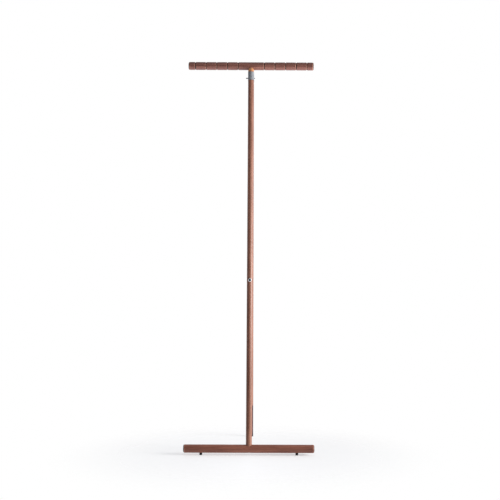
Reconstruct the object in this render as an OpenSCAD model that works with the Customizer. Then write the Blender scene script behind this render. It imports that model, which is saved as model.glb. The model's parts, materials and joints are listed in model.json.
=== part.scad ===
// Folding valet stand: two T-shaped halves, each a round pole with a round cross bar, hinged near
// the top. The front half stands on its bar, the rear half carries the grooved hanging bar and
// stands on the free end of its pole. A strap between the poles stops the stand when it is open.
// Units are millimetres. +Z is up, the front of the stand faces -Y, and the origin is on the
// floor under the centre of the overall box.

/* [Overall] */
// Overall height from the floor to the top of the upper bar
stand_h = 1472; // [1300:1:1600]
// Angle that each pole leans from upright when the stand is open, in degrees
lean = 6.5; // [5.5:0.1:7]

/* [Bars] */
// Length of the upper and the lower bar
bar_len = 480; // [420:1:600]
// Diameter of both bars
bar_d = 30; // [30:0.5:34]
// Radius that rounds the ends of the bars
bar_end_r = 5; // [2:0.5:8]
// Number of hook grooves on each side of the upper bar
groove_count = 5; // [1:1:5]
// Distance from the middle of the bar to the first groove
groove_first = 50; // [40:1:60]
// Distance between grooves
groove_pitch = 41; // [30:1:42]
// Width of a groove
groove_w = 4.6; // [4:0.1:6]
// Depth of a groove
groove_depth = 1.8; // [1.2:0.1:2]
// Width of the chamfer on the edges of a groove
groove_edge = 0.4; // [0.2:0.1:0.6]

/* [Poles] */
// Diameter of both poles
pole_d = 22; // [21.5:0.1:22]
// Diameter of the slimmer upper end of the rear pole
tenon_d = 19; // [18:0.1:19]
// Length of the dark sleeve on the lower end of the rear pole
sleeve_len = 117; // [60:1:200]

/* [Hinge] */
// Drop from the axis of the upper bar to the hinge pin
pin_drop = 45.5; // [45:0.5:55]
// Distance between the two pole axes at the hinge
pole_offset = 27; // [26.5:0.1:29]
// Height of the bracket along the front pole
bracket_h = 32; // [28:1:32]
// Thickness of the bracket sheet
bracket_t = 1.2; // [1:0.1:1.5]
// Diameter of the hinge pin
pin_d = 3.5; // [3:0.1:4]
// Length of the hinge pin
pin_len = 34; // [33:0.5:36]

/* [Stay] */
// Height of the two stay bolts above the floor
stay_z = 638; // [500:1:700]
// Width of the stay strap
strap_w = 18; // [14:0.5:20]
// Thickness of the stay strap
strap_t = 3; // [2:0.1:3]

/* [Feet] */
// Distance from the middle of the lower bar to each front foot
foot_x = 176; // [100:1:190]
// Diameter of a front foot
foot_d = 10; // [9:0.5:12]
// Height of the lower bar above the floor
foot_h = 8; // [6:0.5:12]
// Height of the rubber tip of the rear pole
pad_h = 12; // [10:0.5:16]

/* [Hidden] */
$fn = 64;
eps = 0.01;
fit = 0.05; // radial gap between pieces that are fixed to each other
bar_r = bar_d / 2;
pole_r = pole_d / 2;

// Places of the main points, from the two leaning poles
low_bar_z = foot_h + bar_r;
top_bar_z = stand_h - bar_r;
pin_z = top_bar_z - pin_drop;
pin_s = (pin_z - low_bar_z + pole_offset * sin(lean)) / cos(lean); // along the front pole
pin_run = pin_s * sin(lean) + pole_offset * cos(lean); // from the lower bar back to the pin
foot_run = pin_run + pin_z * tan(lean); // from the lower bar back to the rear foot
depth = bar_r + foot_run + pole_r / cos(lean);
front_y = bar_r - depth / 2;
pin_y = front_y + pin_run;
top_bar_y = pin_y - pin_drop * tan(lean);
top_bar_s = pin_drop / cos(lean); // along the rear pole, up from the pin
rear_foot_s = -pin_z / cos(lean);

// Joint of a pole and a bar: a shallow socket with a bolt and a threaded insert
socket_floor = 6; // from the bar axis
bolt_d = 6;
bolt_head_d = 10;
bolt_hole_d = 11; // counterbore round the bolt head
bolt_seat = 8; // from the bar axis to the underside of the bolt head
base_head_h = 6;
base_bolt_len = 34;
base_hex = 5.8;
top_head_h = 3.5; // thinner, to leave room for the plug
top_bolt_len = 30;
top_hex = 4.6;
plug_gap = 0.2;
insert_d = 10;
insert_len = 18;
hole_end = 24; // depth of the hole in the end of a pole

// Hinge
bracket_in = 10.3; // half the clear width of the bracket
bracket_out = bracket_in + bracket_t;
bracket_back = 10; // from the pin to the rear edge of the bracket
bracket_corner = 8;
neck_r = bracket_in - 0.1;
neck_h = bracket_h + 0.4;
dome_rise = 34.2; // from the pin to the top of the front pole, along the pole
dome_flat = 0.03; // taken off the very top, which leaves a tiny flat
tenon_start = -22; // shoulder of the rear pole, below the pin
bush_d = 6;
pin_gap = 0.05; // running gap between the pin and the bush
seat_half = 9; // half the width of the rear pole between its two washer seats
washer_d = 12;
washer_t = 1.1;
pin_left = -19.7;
side_screw_y = 4; // behind the axis of the front pole
side_screw_z = 8; // above and below the pin
side_screw_d = 3;
side_screw_head = 6;
side_screw_len = 9;

// Stay: places are distances from the pole axis, positive towards the other pole
stay_flat = 9.4; // flat on the inner side of the pole
strap_gap = 0.1; // between the strap and what it lies on
strap_seat = stay_flat + strap_gap;
stay_bolt_seat = -8.5; // floor of the recess for the bolt head
stay_bolt_end = 9.5;
stay_bolt_d = 8;
stay_bore_d = 8.2;
stay_head_d = 13;
stay_head_h = 5;
stay_head_edge = 0.8;
stay_recess_d = 13.6; // hole in the pole round the bolt head
stay_hex = 6; // across the flats
stay_hex_depth = 4.5;
stay_washer_d = 18;
stay_washer_t = 1.2;
stay_washer_seat = strap_seat + strap_t + strap_gap;
stay_nut_d = 10;
stay_nut_end = -2;
stay_nut_face = stay_washer_seat + stay_washer_t;
stay_nut_bore_end = 10;
stay_nut_head_d = 14;
stay_nut_head_t = 2;
stay_nut_hex = 5.8;
stay_nut_hex_depth = 1.2;
strap_hole_d = 10.3;
front_stay_s = (stay_z - low_bar_z) / cos(lean);
rear_stay_s = -(pin_z - stay_z) / cos(lean);
strap_tab = 11; // half the length of the end that lies on the pole
strap_bend_r = 8;
strap_dip = 8; // slope of the strap next to its bends, in degrees
strap_bend_steps = 10;
strap_span_steps = 10;

// Front feet
foot_edge = 0.8; // rounds the lower edge of a foot
foot_sunk = 1.5; // how far a foot enters the bar
foot_recess_d = 6.2;
foot_recess = 3.4;
front_screw_d = 3;
front_screw_len = 18;
front_screw_z = 2;
front_screw_hole = 14; // depth in the bar

// Rear foot
sleeve_wall = 1;
pad_recess_d = 9;
pad_recess = 5;
rear_screw_d = 4;
rear_screw_len = 30;
rear_screw_s = 3.2; // from the end of the pad to the head of its screw

// Frame of the front pole: Z along the pole from the axis of the lower bar, Y towards the rear
module on_front_pole(s = 0) {
    translate([0, front_y, low_bar_z]) rotate([-lean, 0, 0]) translate([0, 0, s]) children();
}

// Frame of the rear pole: Z along the pole from the hinge pin, Y towards the rear
module on_rear_pole(s = 0) {
    translate([0, pin_y, pin_z]) rotate([lean, 0, 0]) translate([0, 0, s]) children();
}

// Cylinder along X or Y through the local origin
module along_x(d, x0, x1) {
    translate([x0, 0, 0]) rotate([0, 90, 0]) cylinder(d = d, h = x1 - x0);
}

module along_y(d, y0, y1) {
    translate([0, y0, 0]) rotate([-90, 0, 0]) cylinder(d = d, h = y1 - y0);
}

// Cylinder along Z with a small chamfer on its upper edge
module headed(d, h, edge = 0.5) {
    cylinder(d = d, h = h - edge);
    translate([0, 0, h - edge]) cylinder(d1 = d, d2 = d - 2 * edge, h = edge);
}

// Round bar along X with rounded ends and optional grooves
module round_bar(grooves) {
    half = bar_len / 2;
    rotate([0, 90, 0]) rotate_extrude() difference() {
        union() {
            translate([0, -half]) square([bar_r - bar_end_r, bar_len]);
            translate([0, -half + bar_end_r]) square([bar_r, bar_len - 2 * bar_end_r]);
            for (side = [-1, 1])
                intersection() {
                    translate([bar_r - bar_end_r, side * (half - bar_end_r)]) circle(bar_end_r);
                    translate([0, -half]) square([bar_r, bar_len]);
                }
        }
        for (side = [-1, 1], i = [0 : grooves - 1])
            translate([0, side * (groove_first + i * groove_pitch)]) groove_profile();
    }
}

// Shallow round groove with chamfered edges, open outwards
module groove_profile() {
    half = groove_w / 2;
    arc_r = (half * half + groove_depth * groove_depth) / (2 * groove_depth);
    translate([bar_r - groove_depth + arc_r, 0]) circle(arc_r);
    polygon([[bar_r - groove_edge, -half + groove_edge], [bar_r - groove_edge, half - groove_edge],
             [bar_r, half + groove_edge], [bar_r + 1, half + groove_edge],
             [bar_r + 1, -half - groove_edge], [bar_r, -half - groove_edge]]);
}

// What a joint removes from its bar: local Z points from the bar into the pole
module bar_joint_cut(end_d) {
    translate([0, 0, socket_floor]) cylinder(d = end_d + 2 * fit, h = bar_d);
    translate([0, 0, -bar_d]) cylinder(d = bolt_hole_d, h = bar_d - bolt_seat);
    translate([0, 0, -bar_d]) cylinder(d = bolt_d + 2 * fit, h = 2 * bar_d);
}

// Connector bolt of a bar joint, head below
module bar_joint_bolt(head_h, len, hex) {
    difference() {
        union() {
            translate([0, 0, -bolt_seat]) mirror([0, 0, 1]) headed(bolt_head_d, head_h);
            translate([0, 0, -bolt_seat - eps]) cylinder(d = bolt_d, h = len);
        }
        translate([0, 0, -bolt_seat - head_h - eps]) cylinder(d = hex, h = head_h / 2, $fn = 6);
    }
}

// Threaded insert in the end of a pole
module bar_joint_insert() {
    translate([0, 0, socket_floor]) difference() {
        cylinder(d = insert_d, h = insert_len);
        translate([0, 0, -1]) cylinder(d = bolt_d + 2 * fit, h = insert_len + 2);
    }
}

// Hole in the end of a pole for the insert and the bolt
module pole_end_hole() {
    translate([0, 0, socket_floor - 1]) cylinder(d = insert_d + 2 * fit, h = hole_end + 1);
}

// What a stay removes from its pole: a recess, a stepped bore and a flat for the strap
module stay_cut() {
    flat_low = -strap_tab - strap_bend_r;
    flat_high = strap_tab + 2;
    along_y(stay_recess_d, -pole_d, stay_bolt_seat);
    along_y(stay_bore_d, -pole_d, stay_nut_end);
    along_y(stay_nut_d + 2 * fit, stay_nut_end - 2 * fit, pole_d);
    translate([-pole_r, stay_flat, flat_low]) cube([pole_d, pole_r, flat_high - flat_low]);
}

// Low-head bolt of the stay
module stay_bolt() {
    rotate([-90, 0, 0]) difference() {
        union() {
            translate([0, 0, stay_bolt_seat]) mirror([0, 0, 1])
                headed(stay_head_d, stay_head_h, stay_head_edge);
            translate([0, 0, stay_bolt_seat - eps])
                cylinder(d = stay_bolt_d, h = stay_bolt_end - stay_bolt_seat);
        }
        translate([0, 0, stay_bolt_seat - stay_head_h - eps])
            cylinder(d = stay_hex / cos(30), h = stay_hex_depth, $fn = 6);
    }
}

// Sleeve nut whose flat head clamps the strap and its washer
module stay_nut() {
    rotate([-90, 0, 0]) difference() {
        union() {
            translate([0, 0, stay_nut_end])
                cylinder(d = stay_nut_d, h = stay_nut_face - stay_nut_end + eps);
            translate([0, 0, stay_nut_face]) headed(stay_nut_head_d, stay_nut_head_t);
        }
        translate([0, 0, stay_nut_end - 1])
            cylinder(d = stay_bolt_d + 2 * fit, h = stay_nut_bore_end - stay_nut_end + 1);
        translate([0, 0, stay_nut_face + stay_nut_head_t - stay_nut_hex_depth])
            cylinder(d = stay_nut_hex, h = stay_nut_hex_depth + 1, $fn = 6);
    }
}

module stay_washer() {
    rotate([-90, 0, 0]) translate([0, 0, stay_washer_seat]) difference() {
        cylinder(d = stay_washer_d, h = stay_washer_t);
        translate([0, 0, -1]) cylinder(d = stay_nut_d + 2 * fit, h = stay_washer_t + 2);
    }
}

// Wood screw along Z: the top of its pan head is at the origin and its point is above
module pan_screw(d, len) {
    head_d = 1.9 * d;
    head_h = 0.45 * d;
    tip_d = 0.4;
    slot = [1.2 * d, 0.24 * d, 0.25 * d];
    difference() {
        union() {
            translate([0, 0, head_h]) mirror([0, 0, 1]) headed(head_d, head_h, 0.3);
            translate([0, 0, head_h - eps]) cylinder(d = d, h = len - head_h - d + eps);
            translate([0, 0, len - d - eps]) cylinder(d1 = d, d2 = tip_d, h = d);
        }
        for (turn = [0, 90])
            rotate([0, 0, turn]) cube([slot[0], slot[1], 2 * slot[2]], center = true);
    }
}

module bottom_bar() {
    color("#8a5a4c") difference() {
        translate([0, front_y, low_bar_z]) round_bar(0);
        on_front_pole() bar_joint_cut(pole_d);
        for (side = [-1, 1])
            translate([side * foot_x, front_y, 0]) {
                cylinder(d = foot_d + 2 * fit, h = foot_h + foot_sunk);
                cylinder(d = front_screw_d + 2 * fit, h = foot_h + front_screw_hole);
            }
    }
}

module front_feet() {
    color("#1c1c1e") for (side = [-1, 1])
        translate([side * foot_x, front_y, 0]) difference() {
            union() {
                translate([0, 0, foot_edge]) cylinder(d = foot_d, h = foot_h + foot_sunk - foot_edge);
                cylinder(d1 = foot_d - 2 * foot_edge, d2 = foot_d, h = foot_edge + eps);
            }
            translate([0, 0, -1]) cylinder(d = foot_recess_d, h = foot_recess + 1);
            translate([0, 0, -1]) cylinder(d = front_screw_d + 2 * fit, h = foot_h + bar_r);
        }
}

module foot_screws() {
    color("silver") for (side = [-1, 1])
        translate([side * foot_x, front_y, front_screw_z]) pan_screw(front_screw_d, front_screw_len);
}

module front_pole() {
    top_s = pin_s + dome_rise;
    color("#9a6a55") difference() {
        on_front_pole() rotate_extrude() difference() {
            union() {
                translate([0, socket_floor]) square([pole_r, top_s - pole_r - socket_floor]);
                intersection() {
                    translate([0, top_s - pole_r]) circle(pole_r);
                    translate([0, top_s - pole_r - eps]) square([pole_r, pole_r + eps - dome_flat]);
                }
            }
            translate([neck_r, pin_s - neck_h / 2]) square([pole_r, neck_h]);
        }
        on_front_pole() pole_end_hole();
        on_front_pole(front_stay_s) stay_cut();
        for (side = [-1, 1])
            on_front_pole(pin_s + side * side_screw_z) side_screw_body(side, fit);
    }
}

module base_bolt() {
    color("silver") on_front_pole() bar_joint_bolt(base_head_h, base_bolt_len, base_hex);
}

module base_insert() {
    color("#b59a55") on_front_pole() bar_joint_insert();
}

// Side view of the bracket in the plane of the poles, with round rear corners
module bracket_side() {
    half = bracket_h / 2;
    front = -bar_d;
    back = pole_offset + bracket_back;
    translate([front, -half]) square([back - bracket_corner - front, bracket_h]);
    translate([front, -half + bracket_corner]) square([back - front, bracket_h - 2 * bracket_corner]);
    for (side = [-1, 1])
        translate([back - bracket_corner, side * (half - bracket_corner)]) circle(bracket_corner);
}

// Section of the bracket across the front pole: round in front, open at the rear
module bracket_section(r, back) {
    circle(r);
    translate([-r, 0]) square([2 * r, back]);
}

// Countersunk screw that enters the front pole from the side
module side_screw_body(side, grow = 0) {
    head_depth = (side_screw_head - side_screw_d) / 2;
    mirror([side < 0 ? 1 : 0, 0, 0]) translate([bracket_out, side_screw_y, 0]) rotate([0, -90, 0]) {
        cylinder(d1 = side_screw_head + 2 * grow, d2 = side_screw_d + 2 * grow, h = head_depth);
        translate([0, 0, head_depth - eps])
            cylinder(d = side_screw_d + 2 * grow, h = side_screw_len - head_depth);
    }
}

module hinge_bracket() {
    back = pole_offset + bracket_back;
    color("#a7abae") on_front_pole(pin_s) difference() {
        intersection() {
            translate([0, 0, -bar_d]) linear_extrude(2 * bar_d) difference() {
                bracket_section(bracket_out, back + 1);
                bracket_section(bracket_in, back + 2);
            }
            translate([-bar_d, 0, 0]) rotate([90, 0, 90]) linear_extrude(2 * bar_d) bracket_side();
        }
        translate([0, pole_offset, 0]) along_x(pin_d + 0.02, -bar_d, bar_d);
        for (side = [-1, 1])
            translate([0, 0, side * side_screw_z]) side_screw_body(side, fit);
    }
}

module bracket_screws() {
    slot_size = [1.6, 3.4, 0.7];
    color("silver") for (side = [-1, 1])
        on_front_pole(pin_s + side * side_screw_z) difference() {
            side_screw_body(side);
            for (turn = [0, 90])
                translate([side * bracket_out, side_screw_y, 0]) rotate([turn, 0, 0])
                    cube(slot_size, center = true);
        }
}

module hinge_pin() {
    edge = 0.5;
    color("#4a4c50") translate([pin_left, pin_y, pin_z]) rotate([0, 90, 0]) {
        cylinder(d1 = pin_d - 2 * edge, d2 = pin_d, h = edge + eps);
        translate([0, 0, edge]) headed(pin_d, pin_len - edge, edge);
    }
}

module front_stay_bolt() {
    color("silver") on_front_pole(front_stay_s) stay_bolt();
}

module front_stay_nut() {
    color("silver") on_front_pole(front_stay_s) stay_nut();
}

module front_stay_washer() {
    color("silver") on_front_pole(front_stay_s) stay_washer();
}

// Side view of the strap. A heading is an angle in the plane of the poles, 0 towards the rear.
function along(heading) = [cos(heading), sin(heading)];
function left_of(heading) = [-sin(heading), cos(heading)];
function mirrored(p, mid) = [2 * mid - p[0], p[1]];

strap_down = -90 - lean; // heading of the end that lies on the front pole
strap_hold = [front_y + (stay_z - low_bar_z) * tan(lean), stay_z]
             - (strap_seat + strap_t / 2) * left_of(90 - lean);
strap_mid = (front_y + (stay_z - low_bar_z) * tan(lean) + pin_y + (pin_z - stay_z) * tan(lean)) / 2;
strap_low = strap_hold + strap_tab * along(strap_down);
strap_bend_c = strap_low + strap_bend_r * left_of(strap_down);
strap_turn = strap_bend_c - strap_bend_r * left_of(-strap_dip);
strap_span_r = (strap_mid - strap_turn[0]) / sin(strap_dip);
strap_span_c = strap_turn + strap_span_r * left_of(-strap_dip);

// One side of the strap from its front end to its middle, off to the left by the given distance
function strap_side(off) = concat(
    [strap_hold - strap_tab * along(strap_down) + off * left_of(strap_down)],
    [for (i = [0 : strap_bend_steps])
        let (h = strap_down + (-strap_dip - strap_down) * i / strap_bend_steps)
        strap_bend_c - (strap_bend_r - off) * left_of(h)],
    [for (i = [1 : strap_span_steps])
        let (h = -strap_dip * (1 - i / strap_span_steps))
        strap_span_c - (strap_span_r - off) * left_of(h)]);

// The same side carried on to the rear end
function whole_side(half_side) = concat(half_side,
    [for (i = [len(half_side) - 2 : -1 : 0]) mirrored(half_side[i], strap_mid)]);

function backwards(points) = [for (i = [len(points) - 1 : -1 : 0]) points[i]];

module stay_strap() {
    upper = whole_side(strap_side(strap_t / 2));
    lower = whole_side(strap_side(-strap_t / 2));
    color("#6b4228") difference() {
        translate([-strap_w / 2, 0, 0]) rotate([90, 0, 90]) linear_extrude(strap_w)
            polygon(concat(upper, backwards(lower)));
        on_front_pole(front_stay_s) along_y(strap_hole_d, 0, pole_d);
        on_rear_pole(rear_stay_s) along_y(strap_hole_d, -pole_d, 0);
    }
}

module rear_pole() {
    low_s = rear_foot_s + pad_h;
    sleeve_top = low_s + sleeve_len;
    top_s = top_bar_s - socket_floor;
    color("#9a6a55") difference() {
        on_rear_pole() rotate_extrude() {
            translate([0, low_s]) square([pole_r - sleeve_wall - fit, sleeve_len + eps]);
            translate([0, sleeve_top]) square([pole_r, tenon_start - sleeve_top]);
            translate([0, tenon_start - eps]) square([tenon_d / 2, top_s - tenon_start + eps]);
        }
        on_rear_pole(top_bar_s) mirror([0, 0, 1]) pole_end_hole();
        on_rear_pole() {
            along_x(bush_d + 2 * fit, -pole_d, pole_d);
            along_x(washer_d + 1, seat_half, pole_d);
            along_x(washer_d + 1, -pole_d, -seat_half);
        }
        on_rear_pole(rear_stay_s) mirror([0, 1, 0]) stay_cut();
        on_rear_pole(low_s - 1) cylinder(d = rear_screw_d + 2 * fit, h = rear_screw_len + 1);
    }
}

module hinge_bush() {
    color("#c2a35c") on_rear_pole() difference() {
        along_x(bush_d, -seat_half, seat_half);
        along_x(pin_d + 2 * pin_gap, -pole_d, pole_d);
    }
}

module hinge_washers() {
    color("#e8e6df") on_rear_pole() for (side = [-1, 1])
        mirror([side < 0 ? 1 : 0, 0, 0]) difference() {
            along_x(washer_d, seat_half + 0.1, seat_half + 0.1 + washer_t);
            along_x(pin_d + 2 * pin_gap, 0, pole_d);
        }
}

module top_bar() {
    color("#8a5a4c") difference() {
        translate([0, top_bar_y, top_bar_z]) round_bar(groove_count);
        on_rear_pole(top_bar_s) mirror([0, 0, 1]) bar_joint_cut(tenon_d);
    }
}

module top_bolt() {
    color("silver") on_rear_pole(top_bar_s) mirror([0, 0, 1])
        bar_joint_bolt(top_head_h, top_bolt_len, top_hex);
}

module top_insert() {
    color("#b59a55") on_rear_pole(top_bar_s) mirror([0, 0, 1]) bar_joint_insert();
}

// Wooden plug over the bolt, flush with the bar
module top_plug() {
    color("#7d4f42") intersection() {
        on_rear_pole(top_bar_s + bolt_seat + top_head_h + plug_gap)
            cylinder(d = bolt_hole_d - 2 * fit, h = bar_r);
        translate([0, top_bar_y, top_bar_z]) along_x(bar_d, -bar_r, bar_r);
    }
}

module rear_stay_bolt() {
    color("silver") on_rear_pole(rear_stay_s) mirror([0, 1, 0]) stay_bolt();
}

module rear_stay_nut() {
    color("silver") on_rear_pole(rear_stay_s) mirror([0, 1, 0]) stay_nut();
}

module rear_stay_washer() {
    color("silver") on_rear_pole(rear_stay_s) mirror([0, 1, 0]) stay_washer();
}

module rear_foot_sleeve() {
    color("#4f2f2c") on_rear_pole(rear_foot_s + pad_h) difference() {
        cylinder(d = pole_d, h = sleeve_len - fit);
        translate([0, 0, -1]) cylinder(r = pole_r - sleeve_wall, h = sleeve_len + 2);
    }
}

module rear_foot_pad() {
    color("#1c1c1e") difference() {
        on_rear_pole(rear_foot_s - pole_r) cylinder(d = pole_d, h = pad_h + pole_r);
        translate([-pole_d, pin_y, -pole_d]) cube([2 * pole_d, 2 * foot_run, pole_d]);
        on_rear_pole(rear_foot_s - pole_r) {
            cylinder(d = pad_recess_d, h = pole_r + pad_recess);
            cylinder(d = rear_screw_d + 2 * fit, h = 2 * pole_d);
        }
    }
}

module rear_foot_screw() {
    color("silver") on_rear_pole(rear_foot_s + rear_screw_s) pan_screw(rear_screw_d, rear_screw_len);
}

bottom_bar();
front_feet();
foot_screws();
front_pole();
base_bolt();
base_insert();
hinge_bracket();
bracket_screws();
hinge_pin();
front_stay_bolt();
front_stay_nut();
front_stay_washer();
stay_strap();
rear_pole();
hinge_bush();
hinge_washers();
top_bar();
top_bolt();
top_insert();
top_plug();
rear_stay_bolt();
rear_stay_nut();
rear_stay_washer();
rear_foot_sleeve();
rear_foot_pad();
rear_foot_screw();
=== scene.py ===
import json
from math import cos, pi, radians, sin

import bmesh
import bpy
from mathutils import Matrix, Vector

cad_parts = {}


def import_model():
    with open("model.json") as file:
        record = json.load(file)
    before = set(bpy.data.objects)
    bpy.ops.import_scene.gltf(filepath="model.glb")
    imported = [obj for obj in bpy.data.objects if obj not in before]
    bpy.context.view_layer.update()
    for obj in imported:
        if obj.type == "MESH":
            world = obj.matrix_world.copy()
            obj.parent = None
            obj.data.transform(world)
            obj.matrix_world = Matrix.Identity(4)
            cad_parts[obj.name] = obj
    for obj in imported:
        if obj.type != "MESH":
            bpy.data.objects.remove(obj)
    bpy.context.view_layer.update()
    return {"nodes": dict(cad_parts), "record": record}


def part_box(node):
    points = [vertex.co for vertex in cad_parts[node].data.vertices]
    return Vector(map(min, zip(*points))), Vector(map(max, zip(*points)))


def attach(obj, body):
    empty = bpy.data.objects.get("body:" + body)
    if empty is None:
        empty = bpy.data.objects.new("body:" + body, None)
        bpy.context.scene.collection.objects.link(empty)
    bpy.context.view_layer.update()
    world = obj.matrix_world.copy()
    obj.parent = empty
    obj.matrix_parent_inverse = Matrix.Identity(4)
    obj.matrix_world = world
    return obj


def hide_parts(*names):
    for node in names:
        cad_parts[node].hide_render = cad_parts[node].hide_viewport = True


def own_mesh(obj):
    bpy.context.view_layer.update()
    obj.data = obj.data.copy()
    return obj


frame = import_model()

# The valet stand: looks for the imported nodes, a leather strap in place of the plain one, stitches on
# the sleeve, and the photo's floor, light and camera. Lengths are metres.
NODES = frame["nodes"]
RECORD = frame["record"]
JOINT = RECORD["behaviour"]["joints"][0]
PIN = Vector(JOINT["pos_m"])
SLOT_OF = {p["node"]: p["material_slot"] for p in RECORD["subparts"]}


# ---------------------------------------------------------------- places from the frame
def middle(node):
    """Middle of a node's box."""
    low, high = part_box(node)
    return (low + high) / 2


def half_size(node, axis):
    """Half of a node's box along X, Y or Z, for axis 0, 1 or 2."""
    low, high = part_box(node)
    return (high[axis] - low[axis]) / 2


LEAN = radians(6.5)  # of each pole from upright, on the open stand
LOW_BAR = middle("bottom_bar")
TOP_BAR = middle("top_bar")
POLE_R = half_size("front_pole", 0)
BAR_R = half_size("bottom_bar", 2)
BAR_HALF = half_size("top_bar", 0)
FRONT_INWARD = Vector((0, cos(LEAN), -sin(LEAN)))  # across the front pole, towards the rear one
REAR_INWARD = Vector((0, -cos(LEAN), -sin(LEAN)))
WASHER_OUT = 0.0132  # from a pole axis to the middle of its stay washer
FRONT_STAY = middle("front_stay_washer") - WASHER_OUT * FRONT_INWARD
REAR_STAY = middle("rear_stay_washer") - WASHER_OUT * REAR_INWARD
SLEEVE = middle("rear_foot_sleeve")
STRAP_HALF_W, STRAP_HALF_T = 0.009, 0.0015  # half the width and half the thickness of the stay strap


# ---------------------------------------------------------------- shader helpers
def grey(value):
    return (value, value, value, 1.0)


def srgb(red, green, blue):
    """Linear colour from 0-255 display values."""
    def linear(v):
        v = v / 255
        return v / 12.92 if v <= 0.04045 else ((v + 0.055) / 1.055) ** 2.4
    return (linear(red), linear(green), linear(blue), 1.0)


class Tree:
    """The node tree of a material or a world, built call by call."""

    def __init__(self, owner):
        owner.use_nodes = True
        self.tree = owner.node_tree
        self.tree.nodes.clear()

    def add(self, kind, inputs=None, **props):
        """A shader node with its inputs set to values or linked to sockets."""
        node = self.tree.nodes.new("ShaderNode" + kind)
        for key, value in props.items():
            setattr(node, key, value)
        for key, value in (inputs or {}).items():
            if isinstance(value, bpy.types.NodeSocket):
                self.tree.links.new(value, node.inputs[key])
            else:
                node.inputs[key].default_value = value
        return node

    def math(self, operation, a, b=0.0, clamp=False):
        return self.add("Math", {0: a, 1: b}, operation=operation, use_clamp=clamp).outputs[0]

    def flip(self, value):
        """1 less the value."""
        return self.math("SUBTRACT", 1.0, value)

    def rise(self, value, start, width):
        """0 to 1 as the value grows from start by that width."""
        return self.math("DIVIDE", self.math("SUBTRACT", value, start), width, clamp=True)

    def weigh(self, *terms, base=0.0):
        """The base plus every (value, weight) term."""
        total = base
        for value, weight in terms:
            total = self.math("ADD", total, self.math("MULTIPLY", value, weight))
        return total


class Shader(Tree):
    """One material."""

    def __init__(self, name):
        self.material = bpy.data.materials.new(name)
        super().__init__(self.material)

    def ramp(self, factor, stops, interpolation="LINEAR"):
        """Colours, or greys given as numbers, at (position, colour) stops along the factor."""
        node = self.add("ValToRGB", {"Fac": factor})
        node.color_ramp.interpolation = interpolation
        elements = node.color_ramp.elements
        while len(elements) < len(stops):
            elements.new(0.5)
        for element, (position, colour) in zip(elements, stops):
            element.position = position
            element.color = grey(colour) if isinstance(colour, float) else colour
        return node.outputs["Color"]

    def mix(self, factor, a, b):
        return self.add("Mix", {0: factor, 6: a, 7: b}, data_type="RGBA").outputs[2]

    def paint(self, base, colour, mask, strength):
        """The base with the colour over it where the mask is 1, at that strength."""
        return self.mix(self.math("MULTIPLY", mask, strength), base, colour)

    def noise(self, vector, scale, detail=3.0, roughness=0.55, distortion=0.0):
        inputs = {"Vector": vector, "Scale": scale, "Detail": detail, "Roughness": roughness,
                  "Distortion": distortion}
        return self.add("TexNoise", inputs).outputs["Fac"]

    def grain(self, vector, along, **look):
        """Noise drawn out along Z: a smaller `along` makes longer grain."""
        return self.noise(self.stretch(vector, (1, 1, along)), **look)

    def place(self, location=(0, 0, 0), rotation=(0, 0, 0)):
        """Object coordinates seen from a frame at that place, in metres."""
        inputs = {"Vector": self.add("TexCoord").outputs["Object"], "Location": location,
                  "Rotation": rotation}
        return self.add("Mapping", inputs, vector_type="TEXTURE").outputs["Vector"]

    def stretch(self, vector, scale, location=(0, 0, 0)):
        inputs = {"Vector": vector, "Scale": scale, "Location": location}
        return self.add("Mapping", inputs).outputs["Vector"]

    def part(self, vector, axis):
        """The X, Y or Z of a vector."""
        return self.add("SeparateXYZ", {0: vector}).outputs[axis]

    def length(self, vector):
        return self.add("VectorMath", {0: vector}, operation="LENGTH").outputs["Value"]

    def round_z(self, vector, stops, radius):
        """A ramp over the distance from the local Z axis, 1 at that radius."""
        return self.ramp(self.length(self.stretch(vector, (1 / radius, 1 / radius, 0))), stops)

    def past_z(self, vector, start, end):
        """0 to 1 as the distance from the local XY plane grows from start to end."""
        return self.rise(self.math("ABSOLUTE", self.part(vector, "Z")), start, end - start)

    def bump(self, height, distance, strength):
        inputs = {"Height": height, "Distance": distance, "Strength": strength}
        return self.add("Bump", inputs).outputs["Normal"]

    def finish(self, **inputs):
        """The material, with a principled shader whose inputs are named in lower case."""
        named = {}
        for key, value in inputs.items():
            named[key.replace("_", " ").title().replace("Ior", "IOR")] = value
        self.add("OutputMaterial", {"Surface": self.add("BsdfPrincipled", named).outputs[0]})
        return self.material


# ---------------------------------------------------------------- materials
# Marks on a bar: painted shade in the groove floors and on the ends, a painted highlight on the groove
# edges and end shoulders, and darker end grain. The first two are ramps over the share of its radius.
# Each of the others fades in between two distances from the bar's end faces.
GROOVE_FLOOR = [(0.92, 1.0), (0.935, 0.0)]
GROOVE_EDGE = [(0.93, 0.0), (0.94, 1.0), (0.987, 1.0), (0.996, 0.0)]
SIDE_END = (0.008, 0.007)
# painted highlight: a pale band where the rounding of each end starts
SHOULDER_HIGHLIGHT = (0.0064, 0.0052)
# darker end grain with painted shade over the ends and their rounding
END_GRAIN_AND_SHADE = (0.0034, 0.0026)
# painted shade for the floor of each groove
GROOVE_SHADE_TONE = srgb(18, 10, 8)
# painted highlight on the groove edges and end shoulders
PALE_HIGHLIGHT_TONE = srgb(212, 152, 126)


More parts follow.
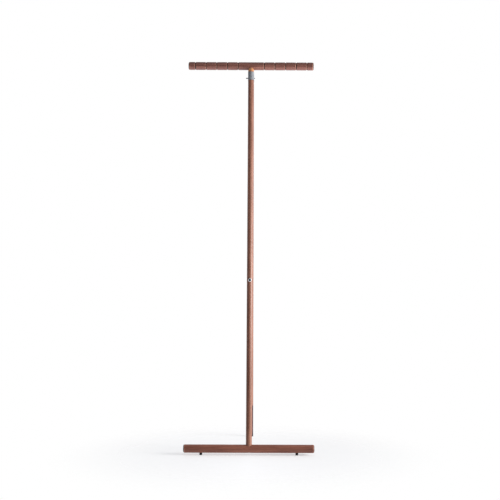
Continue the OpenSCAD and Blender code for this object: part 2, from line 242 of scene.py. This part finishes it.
def bar_marks(s, local, colour, dark):
    """Painted shade in the turned grooves, a painted highlight in patches on their edges and the end
    shoulders, and darker end grain with painted shade on the ends.
    """
    def near_end(start, end):
        return s.past_z(local, BAR_HALF - start, BAR_HALF - end)

    on_side = s.flip(near_end(*SIDE_END))
    # Painted shade: the groove floors turn near-black
    groove_shade = s.math("MULTIPLY", s.round_z(local, GROOVE_FLOOR, BAR_R), on_side)
    colour = s.paint(colour, GROOVE_SHADE_TONE, groove_shade, 0.94)
    # Painted highlight: pale paint on the groove edges and end shoulders, in patches
    rim_highlight = s.math("MULTIPLY", s.round_z(local, GROOVE_EDGE, BAR_R), on_side)
    edge = s.math("MAXIMUM", rim_highlight, s.math("MULTIPLY", near_end(*SHOULDER_HIGHLIGHT), 0.45))
    highlight_patches = s.ramp(s.noise(local, scale=150.0, detail=4.0, roughness=0.6), [(0.36, 0.35), (0.56, 0.95)])
    colour = s.paint(colour, PALE_HIGHLIGHT_TONE, edge, highlight_patches)
    # Darker end grain with painted shade over the ends and their rounding
    return s.paint(colour, s.mix(0.5, dark, grey(0.0)), near_end(*END_GRAIN_AND_SHADE), 0.9)


def wood(name, origin, rotation, dark, mid, light, pith, dull, bar=False, highlight_top=None):
    """Oiled hardwood, its grain along local Z: growth rings round a pith beside the dowel, fibres,
    pores and slow tone changes. A top end (start and end along Z, two tones) is painted paler, as a
    painted highlight."""
    s = Shader(name)
    local = s.place(origin, rotation)
    rings = s.add("TexWave", {"Vector": s.stretch(local, (1, 1, 0.05), pith), "Scale": 85.0,
                              "Distortion": 8.0, "Detail": 4.0, "Detail Scale": 0.5,
                              "Detail Roughness": 0.65},
                  wave_type="RINGS", rings_direction="Z", wave_profile="SIN").outputs["Fac"]
    fibres = s.grain(local, along=0.018, scale=620.0, detail=5.0, roughness=0.65)
    streaks = s.grain(local, along=0.05, scale=190.0, detail=3.0, roughness=0.6, distortion=0.4)
    slow = s.math("SUBTRACT", s.grain(local, along=0.25, scale=22.0, detail=2.0, roughness=0.5), 0.5)
    pores = s.grain(local, along=0.045, scale=2100.0, detail=2.0, roughness=0.5)
    pores = s.ramp(pores, [(0.33, 1.0), (0.42, 0.0)])
    tone = s.weigh((rings, 0.18), (fibres, 0.40), (streaks, 0.42), (slow, 0.30))
    colour = s.ramp(tone, [(0.28, dark), (0.50, mid), (0.74, light)])
    colour = s.paint(colour, dark, pores, 0.55)
    if bar:
        colour = bar_marks(s, local, colour, dark)
    if highlight_top:
        start, end, low_tone, high_tone = highlight_top
        # Painted highlight: the top end turns pale
        top_highlight = s.rise(s.part(local, "Z"), start, end - start)
        colour = s.mix(top_highlight, colour, s.ramp(tone, [(0.28, low_tone), (0.72, high_tone)]))
    height = s.weigh((fibres, 0.6), (pores, -0.8), (rings, 0.15))
    return s.finish(base_color=colour, roughness=s.weigh((fibres, 0.20), (pores, 0.12), base=dull),
                    normal=s.bump(height, distance=0.00012, strength=0.6), specular_ior_level=0.45)


SOCKET_SHADE_FADE = 0.0004  # depth over which the painted shade in a socket turns fully dark


def metal(name, colour, worn, roughness, brush=(1, 1, 1), socket=None, metallic=1.0):
    """Metal with light scratches, dull spots and fine brush lines, drawn out along the axis where
    `brush` is small. A socket (place, turn about X, radius, face) is a hole along the turned Z axis
    with painted shade inside it and round its rim."""
    s = Shader(name)
    local = s.place()
    lines = s.noise(s.stretch(local, brush), scale=1500.0, detail=4.0, roughness=0.7)
    spots = s.noise(local, scale=190.0, detail=5.0, roughness=0.7, distortion=0.5)
    spots = s.ramp(spots, [(0.34, 0.0), (0.66, 1.0)])
    scratches = s.noise(s.stretch(local, (0.15, 1, 1)), scale=900.0, detail=2.0, roughness=0.5)
    scratches = s.ramp(scratches, [(0.60, 0.0), (0.68, 1.0)])
    base = s.paint(colour, worn, spots, 0.6)
    base = s.paint(base, worn, scratches, 0.45)
    if socket:
        place, turn, radius, face = socket
        inside = s.place(place, (turn, 0, 0))
        # Painted shade: the socket and its lead-in rim turn near-black, darkest deep inside
        hole = s.round_z(inside, [(0.95, 1.0), (1.0, 0.0)], radius)
        deep = s.rise(s.part(inside, "Z"), face, SOCKET_SHADE_FADE)
        base = s.paint(base, grey(0.03), hole, 0.9)
        base = s.paint(base, grey(0.012), s.math("MULTIPLY", hole, deep), 0.95)
    patchy = s.math("SUBTRACT", spots, 0.5)
    rough = s.weigh((lines, 0.16), (patchy, 0.14), base=roughness - 0.08)
    height = s.weigh((lines, 1.0), (scratches, 0.5))
    return s.finish(base_color=base, metallic=metallic, roughness=rough,
                    normal=s.bump(height, distance=0.00004, strength=0.5))


def rubber(name, colour, dusty):
    """Matt rubber: a fine pebble grain and dusty patches."""
    s = Shader(name)
    local = s.place()
    pebbles = s.noise(local, scale=1400.0, detail=3.0, roughness=0.6)
    patches = s.noise(local, scale=120.0, detail=4.0, roughness=0.6)
    base = s.mix(s.ramp(patches, [(0.45, 0.0), (0.75, 1.0)]), colour, dusty)
    return s.finish(base_color=base, roughness=s.weigh((patches, 0.2), base=0.62),
                    normal=s.bump(pebbles, distance=0.0001, strength=0.5), specular_ior_level=0.35)


WAX_IN, WAX_FADE = 0.0009, 0.0007  # where the waxed edge of a strap starts, and over what it darkens
SEAM_HALF = 0.0006


def leather(name, dark, mid, light, cell, half_width=None, seam=None):
    """Smooth leather: a fine pebble grain, slow tone changes and small creases. A strap has dark waxed
    edges at that half width; a seam (place, turn about X) runs along the turned Z axis, on its +Y side."""
    s = Shader(name)
    local = s.place()
    cells = s.add("TexVoronoi", {"Vector": local, "Scale": cell, "Randomness": 1.0},
                  feature="DISTANCE_TO_EDGE").outputs["Distance"]
    pebbles = s.ramp(cells, [(0.0, 0.0), (0.16, 1.0)], "EASE")
    slow = s.noise(local, scale=60.0, detail=4.0, roughness=0.6)
    fine = s.noise(local, scale=1600.0, detail=3.0, roughness=0.6)
    creases = s.noise(s.stretch(local, (1, 2.5, 2.5)), scale=240.0, detail=5.0, roughness=0.7,
                      distortion=0.6)
    creases = s.ramp(creases, [(0.40, 0.0), (0.52, 1.0)])
    colour = s.ramp(slow, [(0.30, dark), (0.52, mid), (0.78, light)])
    colour = s.paint(colour, dark, s.flip(pebbles), 0.35)
    height = s.weigh((pebbles, 0.6), (fine, 0.15), (creases, 0.3))
    if half_width:
        side = s.math("ABSOLUTE", s.part(local, "X"))
        colour = s.paint(colour, dark, s.rise(side, half_width - WAX_IN, WAX_FADE), 0.8)
    if seam:
        place, turn = seam
        round_pole = s.place(place, (turn, 0, 0))
        beside = s.rise(s.math("ABSOLUTE", s.part(round_pole, "X")), 0.0, SEAM_HALF)
        front = s.math("LESS_THAN", s.part(round_pole, "Y"), 0.0)
        whole = s.math("MAXIMUM", beside, front)
        colour = s.paint(colour, dark, s.flip(whole), 0.7)
        height = s.weigh((whole, 2.0), base=height)
    return s.finish(base_color=colour, roughness=s.weigh((fine, 0.18), base=0.42),
                    normal=s.bump(height, distance=0.00015, strength=0.7), specular_ior_level=0.45)


def plastic(name, colour, shade):
    """Smooth unpainted plastic with a faint cloud of two tones."""
    s = Shader(name)
    local = s.place()
    cloud = s.noise(local, scale=300.0, detail=3.0, roughness=0.5)
    fine = s.noise(local, scale=2500.0)
    return s.finish(base_color=s.mix(cloud, colour, shade), roughness=s.weigh((cloud, 0.15), base=0.4),
                    normal=s.bump(fine, distance=0.00003, strength=0.4))


def thread(name, colour, dark):
    """Twisted waxed thread: slanting strands across local X."""
    s = Shader(name)
    strands = s.add("TexWave", {"Vector": s.place(), "Scale": 900.0, "Distortion": 1.0, "Detail": 1.0},
                    bands_direction="DIAGONAL").outputs["Fac"]
    return s.finish(base_color=s.mix(strands, dark, colour),
                    roughness=s.weigh((strands, 0.15), base=0.45),
                    normal=s.bump(strands, distance=0.00008, strength=0.6))


# The bars' tones are darker copies of the poles' wood: painted shade for bars that face away from the key
# light
LOW_BAR_SHADED_TONES = (srgb(86, 46, 35), srgb(130, 77, 60), srgb(163, 102, 80))
TOP_BAR_SHADED_TONES = (srgb(84, 47, 38), srgb(124, 76, 63), srgb(156, 101, 84))
POLE_TONES = (srgb(104, 64, 48), srgb(149, 100, 80), srgb(180, 130, 108))
BAR_DULL, POLE_DULL = 0.46, 0.34
ALONG_X = (0, radians(90), 0)
UPRIGHT = (0, 0, 0)
# A painted highlight on the dome of the front pole: where it starts to turn pale and where it is
# fully so, along the pole from the low bar, and two tones
DOME_HIGHLIGHT = (1.4160, 1.4190, srgb(166, 104, 62), srgb(224, 162, 114))
MATERIALS = {
    "bottom_bar": wood("wood_bottom_bar", LOW_BAR, ALONG_X, *LOW_BAR_SHADED_TONES,
                       pith=(0.045, 0.02, 0.0), dull=BAR_DULL, bar=True),
    "top_bar": wood("wood_top_bar", TOP_BAR, ALONG_X, *TOP_BAR_SHADED_TONES,
                    pith=(-0.03, 0.05, 0.3), dull=BAR_DULL, bar=True),
    "top_plug": wood("wood_plug", TOP_BAR, UPRIGHT, *TOP_BAR_SHADED_TONES,
                     pith=(0.02, 0.03, 0.6), dull=BAR_DULL),
    "front_pole": wood("wood_front_pole", LOW_BAR, (-LEAN, 0, 0), *POLE_TONES,
                       pith=(0.04, 0.02, 0.1), dull=POLE_DULL, highlight_top=DOME_HIGHLIGHT),
    "rear_pole": wood("wood_rear_pole", PIN, (LEAN, 0, 0), *POLE_TONES,
                      pith=(-0.035, 0.03, 0.4), dull=POLE_DULL),
}
BY_SLOT = {
    "bracket_steel": metal("bracket_zinc", srgb(160, 162, 164), srgb(88, 90, 91), roughness=0.54,
                           brush=(1, 1, 0.03), metallic=0.25),
    "pin_steel": metal("pin_dark_steel", srgb(44, 45, 47), srgb(28, 27, 27), roughness=0.50,
                       brush=(0.03, 1, 1)),
    "bolt_steel": metal("bolt_stainless", srgb(205, 205, 207), srgb(165, 163, 160), roughness=0.26),
    "screw_steel": metal("screw_zinc", srgb(156, 157, 158), srgb(98, 96, 92), roughness=0.48,
                         metallic=0.35),
    "brass": metal("turned_brass", srgb(206, 178, 110), srgb(150, 118, 62), roughness=0.30),
    "nylon": plastic("natural_nylon", srgb(232, 229, 220), srgb(205, 200, 186)),
    "rubber": rubber("black_rubber", srgb(22, 22, 24), srgb(42, 40, 40)),
    "strap_leather": leather("strap_leather", srgb(62, 34, 20), srgb(98, 56, 33), srgb(124, 76, 46),
                             cell=900.0, half_width=STRAP_HALF_W),
    "sleeve_leather": leather("sleeve_leather", srgb(54, 27, 25), srgb(84, 45, 41), srgb(108, 62, 56),
                              cell=1100.0, seam=(SLEEVE, LEAN)),
}
# radius of the painted shade round a bolt's hex socket
SOCKET_SHADE_R = 0.0039
SOCKET_FACE = -0.0135  # place of a bolt head's face along the bolt, from the pole axis
STAY_BOLTS = {
    "front_stay_bolt": (FRONT_STAY, -LEAN - pi / 2),
    "rear_stay_bolt": (REAR_STAY, LEAN + pi / 2),
}
for node, (place, turn) in STAY_BOLTS.items():
    MATERIALS[node] = metal(node + "_steel", srgb(236, 236, 237), srgb(208, 206, 203), roughness=0.32,
                            socket=(place, turn, SOCKET_SHADE_R, SOCKET_FACE), metallic=0.2)

for node, obj in NODES.items():
    finish = MATERIALS.get(node) or BY_SLOT[SLOT_OF[node]]
    for holder in obj.material_slots:
        holder.material = finish


# ---------------------------------------------------------------- pieces
SHARP = 40  # degrees between faces, past which an edge stays sharp
HOLE_SIDES, CUTTER_LENGTH = 48, 0.03


def add_piece(name, bm, body, finish, sharp=SHARP):
    """A mesh object from bm, smooth apart from edges sharper than that, riding on the body."""
    mesh = bpy.data.meshes.new(name)
    bmesh.ops.recalc_face_normals(bm, faces=bm.faces)
    bm.to_mesh(mesh)
    bm.free()
    mesh.materials.append(finish)
    mesh.shade_smooth()
    mesh.set_sharp_from_angle(angle=radians(sharp))
    obj = bpy.data.objects.new(name, mesh)
    bpy.context.scene.collection.objects.link(obj)
    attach(obj, body)
    return obj


def bridge_rings(bm, rings):
    """Quads between rings of points, and a face on each end."""
    loops = [[bm.verts.new(point) for point in ring] for ring in rings]
    for a, b in zip(loops, loops[1:]):
        for i in range(len(a)):
            j = (i + 1) % len(a)
            bm.faces.new((a[i], a[j], b[j], b[i]))
    bm.faces.new(loops[0][::-1])
    bm.faces.new(loops[-1])


def cut_hole(mesh, place, axis, radius):
    """A round hole through the mesh, cut exactly and kept in the mesh."""
    tool = bpy.data.meshes.new("cutter")
    bm = bmesh.new()
    turn = Vector((0, 0, 1)).rotation_difference(axis).to_matrix().to_4x4()
    bmesh.ops.create_cone(bm, cap_ends=True, segments=HOLE_SIDES, radius1=radius, radius2=radius,
                          depth=CUTTER_LENGTH, matrix=Matrix.Translation(place) @ turn)
    bm.to_mesh(tool)
    bm.free()
    cutter = bpy.data.objects.new("cutter", tool)
    work = bpy.data.objects.new("work", mesh)
    for obj in (cutter, work):
        bpy.context.scene.collection.objects.link(obj)
    boolean = work.modifiers.new("hole", "BOOLEAN")
    boolean.object, boolean.operation, boolean.solver = cutter, "DIFFERENCE", "EXACT"
    evaluated = work.evaluated_get(bpy.context.evaluated_depsgraph_get())
    result = bpy.data.meshes.new_from_object(evaluated)
    for obj in (cutter, work):
        bpy.data.objects.remove(obj)
    return result


# Leather stay strap: an end on each pole and the span between them. Headings are angles in the YZ
# plane, 0 towards the rear. The rear end mirrors the front one.
STRAP_OUT = 0.011  # from a pole axis to the middle of the strap
STRAP_TAB = 0.011  # half the length of the end on the pole
STRAP_CORNER = 0.006  # radius of the corners of an end
STRAP_BEND_R, STRAP_DIP = 0.008, radians(8)
STRAP_SPLIT = radians(-45)  # heading where an end piece passes into the span
STRAP_TUCK = radians(-62)  # the span starts here, slightly thinner, inside the end piece
SPLIT_STEP = radians(0.5)  # heading over which the span grows to its full size
TUCK_THIN = 0.00012
STRAP_HOLE_R = 0.00515
EDGE_R = 0.0007
CREASE_IN, CREASE_HALF, CREASE_DEPTH = 0.0021, 0.0004, 0.00018
FLAT_SHARE = 0.4  # one more line of points on the flat, at this share of its half width
LIP, LIP_NARROW, LIP_THIN = 0.0003, 0.0004, 0.0005  # softened edge of an end: length, and what it loses
CORNER_STEPS, TAB_STEPS, END_BEND_STEPS, TUCK_STEPS, BEND_STEPS, SPAN_STEPS = 6, 9, 6, 3, 4, 16
STRAP_DOWN = -pi / 2 - LEAN  # heading down along the front pole
STRAP_MID_Y = (FRONT_STAY.y + REAR_STAY.y) / 2


def along(heading):
    """Unit vector of a heading."""
    return Vector((0, cos(heading), sin(heading)))


def left_of(heading):
    """Unit vector a quarter turn to the left of a heading."""
    return Vector((0, -sin(heading), cos(heading)))


STRAP_HOLD = FRONT_STAY + STRAP_OUT * FRONT_INWARD
TAB_TOP = STRAP_HOLD - STRAP_TAB * along(STRAP_DOWN)
BEND_CENTRE = STRAP_HOLD + STRAP_TAB * along(STRAP_DOWN) + STRAP_BEND_R * left_of(STRAP_DOWN)


def strap_ring(place, heading, half_w, half_t):
    """Section across the strap: round edges and a crease near each edge, on both faces."""
    edge = min(EDGE_R, half_t * 0.5)
    side = [(half_w - edge + edge * sin(a), half_t - edge + edge * cos(a))
            for a in (pi / 2, pi / 3, pi / 6, 0)]
    creased = half_w - CREASE_IN
    flat = creased - CREASE_HALF
    side += [(creased + CREASE_HALF, half_t), (creased, half_t - CREASE_DEPTH), (flat, half_t)]
    side += [(flat * FLAT_SHARE, half_t)]
    top = side + [(-u, v) for u, v in reversed(side)]
    ring = top + [(u, -v) for u, v in reversed(top)]
    return [place + Vector((u, 0, 0)) + v * left_of(heading) for u, v in ring]


def bend_path(start, end, steps):
    """Places and headings, from heading to heading, round the bend at the front end."""
    for i in range(steps + 1):
        heading = start + (end - start) * i / steps
        yield BEND_CENTRE - STRAP_BEND_R * left_of(heading), heading


def full_size(path):
    """Stations of the full section along a path."""
    return [(place, heading, STRAP_HALF_W, STRAP_HALF_T) for place, heading in path]


def mirrored(stations):
    """The same stations from the rear end: places, headings and half sizes."""
    return [(Vector((0, 2 * STRAP_MID_Y - p.y, p.z)), -h, *rest) for p, h, *rest in reversed(stations)]


def end_stations():
    """The front end: a softened edge, round corners, the flat on the pole and the start of the bend."""
    def down(reach):
        return TAB_TOP + reach * along(STRAP_DOWN)

    stations = [(TAB_TOP, STRAP_DOWN, STRAP_HALF_W - STRAP_CORNER - LIP_NARROW, STRAP_HALF_T - LIP_THIN)]
    for i in range(CORNER_STEPS + 1):
        turn = i * pi / 2 / CORNER_STEPS
        stations.append((down(LIP + STRAP_CORNER * (1 - cos(turn))), STRAP_DOWN,
                         STRAP_HALF_W - STRAP_CORNER * (1 - sin(turn)), STRAP_HALF_T))
    corner_end = LIP + STRAP_CORNER
    for i in range(1, TAB_STEPS):
        reach = corner_end + (2 * STRAP_TAB - corner_end) * i / TAB_STEPS
        stations.append((down(reach), STRAP_DOWN, STRAP_HALF_W, STRAP_HALF_T))
    return stations + full_size(bend_path(STRAP_DOWN, STRAP_SPLIT, END_BEND_STEPS))


def span_stations():
    """The span: tucked into the front end, round the rest of the bend and along a shallow sag to the
    middle, and from there the same in mirror image."""
    stations = [(place, heading, STRAP_HALF_W - TUCK_THIN, STRAP_HALF_T - TUCK_THIN)
                for place, heading in bend_path(STRAP_TUCK, STRAP_SPLIT - SPLIT_STEP, TUCK_STEPS)]
    bend = list(bend_path(STRAP_SPLIT, -STRAP_DIP, BEND_STEPS))
    bend_end = bend[-1][0]
    sag_r = (STRAP_MID_Y - bend_end.y) / sin(STRAP_DIP)
    sag_centre = bend_end + sag_r * left_of(-STRAP_DIP)
    headings = [-STRAP_DIP * (1 - i / SPAN_STEPS) for i in range(1, SPAN_STEPS + 1)]
    sag = [(sag_centre - sag_r * left_of(heading), heading) for heading in headings]
    stations += full_size(bend + sag)
    return stations + mirrored(stations)[1:]


def strap_piece(name, stations, body, hole=None):
    """A piece of the strap, with a bolt hole where hole gives a place and an axis."""
    bm = bmesh.new()
    bridge_rings(bm, [strap_ring(*station) for station in stations])
    piece = add_piece(name, bm, body, BY_SLOT["strap_leather"])
    if hole:
        cut = cut_hole(piece.data, *hole, STRAP_HOLE_R)
        cut.set_sharp_from_angle(angle=radians(SHARP))
        piece.data = cut
    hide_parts("stay_strap")
    return piece


strap_piece("stay_strap_front_end", end_stations(), "front_half", (STRAP_HOLD, FRONT_INWARD))
strap_piece("stay_strap_rear_end", mirrored(end_stations()), "rear_half",
            (REAR_STAY + STRAP_OUT * REAR_INWARD, REAR_INWARD))
span = strap_piece("stay_strap_span", span_stations(), "front_half")
span_front = next(bend_path(STRAP_SPLIT, 0, 1))[0]
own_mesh(span)

# Waxed thread across the seam at the back of the sleeve
STITCHES, STITCH_STEP, STITCH_SLANT = 15, 0.0075, 0.0016
STITCH_HALF, THREAD_R = 0.0026, 0.0004
THREAD_SINK, THREAD_DIVE = 0.00015, 0.0007  # how deep a stitch lies, and how much deeper its ends go
THREAD_TAPER = 0.5  # how much of its thickness a stitch loses at its ends
DIVE_POWER, TAPER_POWER = 6, 8  # high powers keep the middle of a stitch level and thick
STITCH_STEPS, THREAD_SIDES = 5, 8


def stitch_rings(height):
    """One stitch at that height on the sleeve: its sections from end to end."""
    for step in range(2 * STITCH_STEPS + 1):
        t = step / STITCH_STEPS - 1
        out = POLE_R - THREAD_SINK - THREAD_DIVE * t ** DIVE_POWER
        turn = t * STITCH_HALF / POLE_R
        here = Vector((out * sin(turn), out * cos(turn), height + t * STITCH_SLANT))
        thin = THREAD_R * (1 - THREAD_TAPER * t ** TAPER_POWER)
        outward = Vector((sin(turn), cos(turn), 0))
        angles = [2 * pi * k / THREAD_SIDES for k in range(THREAD_SIDES)]
        yield [here + thin * (cos(a) * outward + sin(a) * Vector((0, 0, 1))) for a in angles]


bm = bmesh.new()
for i in range(STITCHES):
    rings = stitch_rings((i - (STITCHES - 1) / 2) * STITCH_STEP)
    bridge_rings(bm, [[SLEEVE + Matrix.Rotation(LEAN, 3, "X") @ p for p in ring] for ring in rings])
add_piece("rear_sleeve_stitches", bm, "rear_half",
          thread("waxed_thread", srgb(150, 118, 92), srgb(98, 72, 56)), sharp=80)

# ---------------------------------------------------------------- floor, world, lights, camera
FLOOR_R, FLOOR_SQUARES = 1.25, 8
FLOOR_REACH = Vector((0.75, 0.62))  # from the low bar's middle to where the floor has faded out
FLOOR_FADE = [(0.15, 1.0), (1.0, 0.0)]
FLOOR_TONES = (grey(0.50), grey(0.52))
FLOOR_GLOW = 0.51
GLOW_FALL = 0.55  # per metre to the right, where the key light is stronger
# The ambient light is the sum of these. Each has an axis of the direction that the light comes from,
# a stretch of that axis, and the strength at the two ends of the stretch.
AMBIENT = (
    ("X", (-1.0, 1.0), (0.08, 0.30)),
    ("Z", (-1.0, -0.4), (2.4, 0.0)),
    ("Y", (0.0, 1.0), (0.0, 0.8)),
)
AMBIENT_TONE = (0.92, 0.95, 1.06, 1.0)


def floor():
    """A pale floor that glows to white and fades out into the background."""
    mesh = bpy.data.meshes.new("floor")
    bm = bmesh.new()
    bmesh.ops.create_grid(bm, x_segments=FLOOR_SQUARES, y_segments=FLOOR_SQUARES, size=FLOOR_R)
    bm.to_mesh(mesh)
    bm.free()
    obj = bpy.data.objects.new("floor", mesh)
    bpy.context.scene.collection.objects.link(obj)
    s = Shader("pale_floor")
    local = s.place()
    base = s.mix(s.noise(local, scale=9.0, detail=3.0, roughness=0.5), *FLOOR_TONES)
    spot = s.stretch(local, (1 / FLOOR_REACH.x, 1 / FLOOR_REACH.y, 1),
                     (0, -LOW_BAR.y / FLOOR_REACH.y, 0))
    fade = s.ramp(s.length(spot), FLOOR_FADE, "EASE")
    right_side = s.math("MAXIMUM", s.part(local, "X"), 0.0)
    strength = s.weigh((right_side, -GLOW_FALL), base=FLOOR_GLOW)
    glow = s.add("Emission", {"Color": grey(1.0), "Strength": strength})
    diffuse = s.add("BsdfDiffuse", {"Color": base})
    lit = s.add("AddShader", {0: diffuse.outputs[0], 1: glow.outputs[0]})
    clear = s.add("BsdfTransparent")
    both = s.add("MixShader", {0: fade, 1: clear.outputs[0], 2: lit.outputs[0]})
    s.add("OutputMaterial", {"Surface": both.outputs[0]})
    mesh.materials.append(s.material)


def world():
    """White where the camera looks past the object, dimmer as a light."""
    studio = bpy.data.worlds.new("studio")
    bpy.context.scene.world = studio
    t = Tree(studio)
    direction = t.add("SeparateXYZ", {0: t.add("TexCoord").outputs["Generated"]}).outputs
    strength = 0.0
    for axis, (start, end), (at_start, at_end) in AMBIENT:
        level = t.add("MapRange", {"Value": direction[axis], "From Min": start, "From Max": end,
                                   "To Min": at_start, "To Max": at_end})
        strength = t.math("ADD", strength, level.outputs[0])
    dim = t.add("Background", {"Color": AMBIENT_TONE, "Strength": strength})
    white = t.add("Background", {"Color": grey(1.0)})
    seen = t.add("LightPath").outputs["Is Camera Ray"]
    both = t.add("MixShader", {0: seen, 1: dim.outputs[0], 2: white.outputs[0]})
    t.add("OutputWorld", {"Surface": both.outputs[0]})


def area_light(name, place, target, width, height, power):
    """A rectangle of light, in watts, that faces its target and is hidden from the camera."""
    light = bpy.data.lights.new(name, "AREA")
    light.shape = "RECTANGLE"
    light.size, light.size_y, light.energy = width, height, power
    obj = bpy.data.objects.new(name, light)
    obj.location = place
    obj.rotation_euler = (Vector(target) - Vector(place)).to_track_quat("-Z", "Y").to_euler()
    obj.visible_camera = False
    bpy.context.scene.collection.objects.link(obj)


CAMERA_RIGHT, CAMERA_AWAY, CAMERA_UP = 0.060, 3.5, 0.771  # away is in front of the low bar
CAMERA_PLACE = Vector((CAMERA_RIGHT, LOW_BAR.y - CAMERA_AWAY, CAMERA_UP))
CAMERA_YAW, CAMERA_PITCH, CAMERA_ROLL = radians(-0.238), radians(-0.315), radians(0.24)
SENSOR_MM, LENS_MM, SHIFT_X = 36, 68.832, -0.04


def camera():
    """The photo's camera: level apart from a small yaw, pitch and roll."""
    forward = Vector((-sin(CAMERA_YAW) * cos(CAMERA_PITCH), cos(CAMERA_YAW) * cos(CAMERA_PITCH),
                      sin(CAMERA_PITCH)))
    level = forward.cross(Vector((0, 0, 1))).normalized()
    right = level * cos(CAMERA_ROLL) + level.cross(forward) * sin(CAMERA_ROLL)
    turned = Matrix((right, right.cross(forward), -forward)).transposed().to_4x4()
    obj = bpy.data.objects.new("camera", bpy.data.cameras.new("camera"))
    obj.matrix_world = Matrix.Translation(CAMERA_PLACE) @ turned
    obj.data.sensor_width, obj.data.lens, obj.data.shift_x = SENSOR_MM, LENS_MM, SHIFT_X
    bpy.context.scene.collection.objects.link(obj)
    bpy.context.scene.camera = obj


floor()
world()
area_light("key_right", place=(2.16, -0.64, 0.85), target=(0, 0, 0.65), width=1.1, height=0.7, power=82)
area_light("top_soft", place=(0.2, -0.6, 2.7), target=(0, 0, 0), width=1.6, height=1.6, power=8)
camera()
bpy.context.scene.view_settings.view_transform = "Standard"
